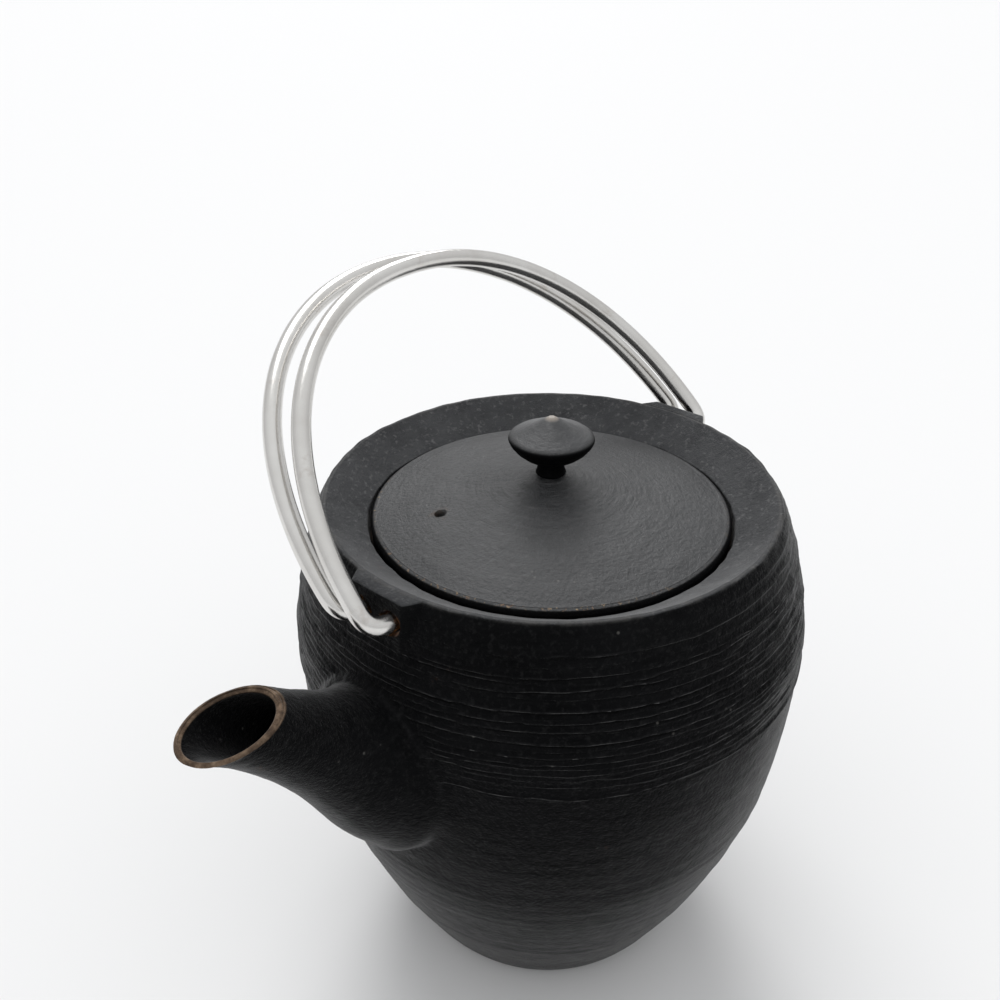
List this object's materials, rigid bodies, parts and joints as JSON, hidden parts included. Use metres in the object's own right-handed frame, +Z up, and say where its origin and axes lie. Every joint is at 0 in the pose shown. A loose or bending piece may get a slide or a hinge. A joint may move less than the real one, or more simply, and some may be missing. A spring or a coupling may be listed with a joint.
{
  "type": "cast iron teapot",
  "caption": "Barrel-shaped cast iron teapot with a forward spout, a dished rim, a loose knobbed lid, a swinging bail handle of bent rods and a lift-out mesh infuser.",
  "frame": {"origin": "centre of the flat round base, on the barrel's axis, at the height of the surface it stands on", "axes": "+Z up along the barrel's axis, +X towards the spout, +Y to the left of someone looking along the spout from behind; the handle's hinge line runs along X"},
  "size_m": [0.1608, 0.1186, 0.1668],
  "materials": {
    "iron_body": "black sand-cast iron with turned wavy ridges, matt, worn brown at the spout's lip",
    "iron_lid": "dark grey iron, satin, with fine concentric lines",
    "iron_knob": "black iron, smooth satin",
    "rod_steel": "stainless rod, satin polished",
    "rim_steel": "pressed stainless sheet, bright",
    "mesh_steel": "woven stainless wire"
  },
  "bodies": {
    "pot": {"pot_body": "iron_body", "spout": "iron_body"},
    "handle_left": {"handle_rod_left": "rod_steel"},
    "handle_right": {"handle_rod_right": "rod_steel"},
    "infuser": {"infuser_rim": "rim_steel", "infuser_mesh": "mesh_steel"},
    "lid": {"lid_plate": "iron_lid", "lid_knob": "iron_knob"}
  },
  "joints": [
    {"name": "handle_left_swing", "type": "hinge", "parent": "pot", "child": "handle_left", "pos_m": [0, 0.0039, 0.1179], "axis": [1, 0, 0], "range_deg": [-100, 10]},
    {"name": "handle_right_swing", "type": "hinge", "parent": "pot", "child": "handle_right", "pos_m": [0, -0.0039, 0.1179], "axis": [1, 0, 0], "range_deg": [-100, 10]},
    {"name": "infuser_lift", "type": "slide", "parent": "pot", "child": "infuser", "axis": [0, 0, 1], "range_m": [0, 0.056]},
    {"name": "lid_lift", "type": "slide", "parent": "infuser", "child": "lid", "axis": [0, 0, 1], "range_m": [0, 0.025]}
  ],
  "couplings": [
    {"joint": "handle_right_swing", "follows": "handle_left_swing", "ratio": 1}
  ]
}
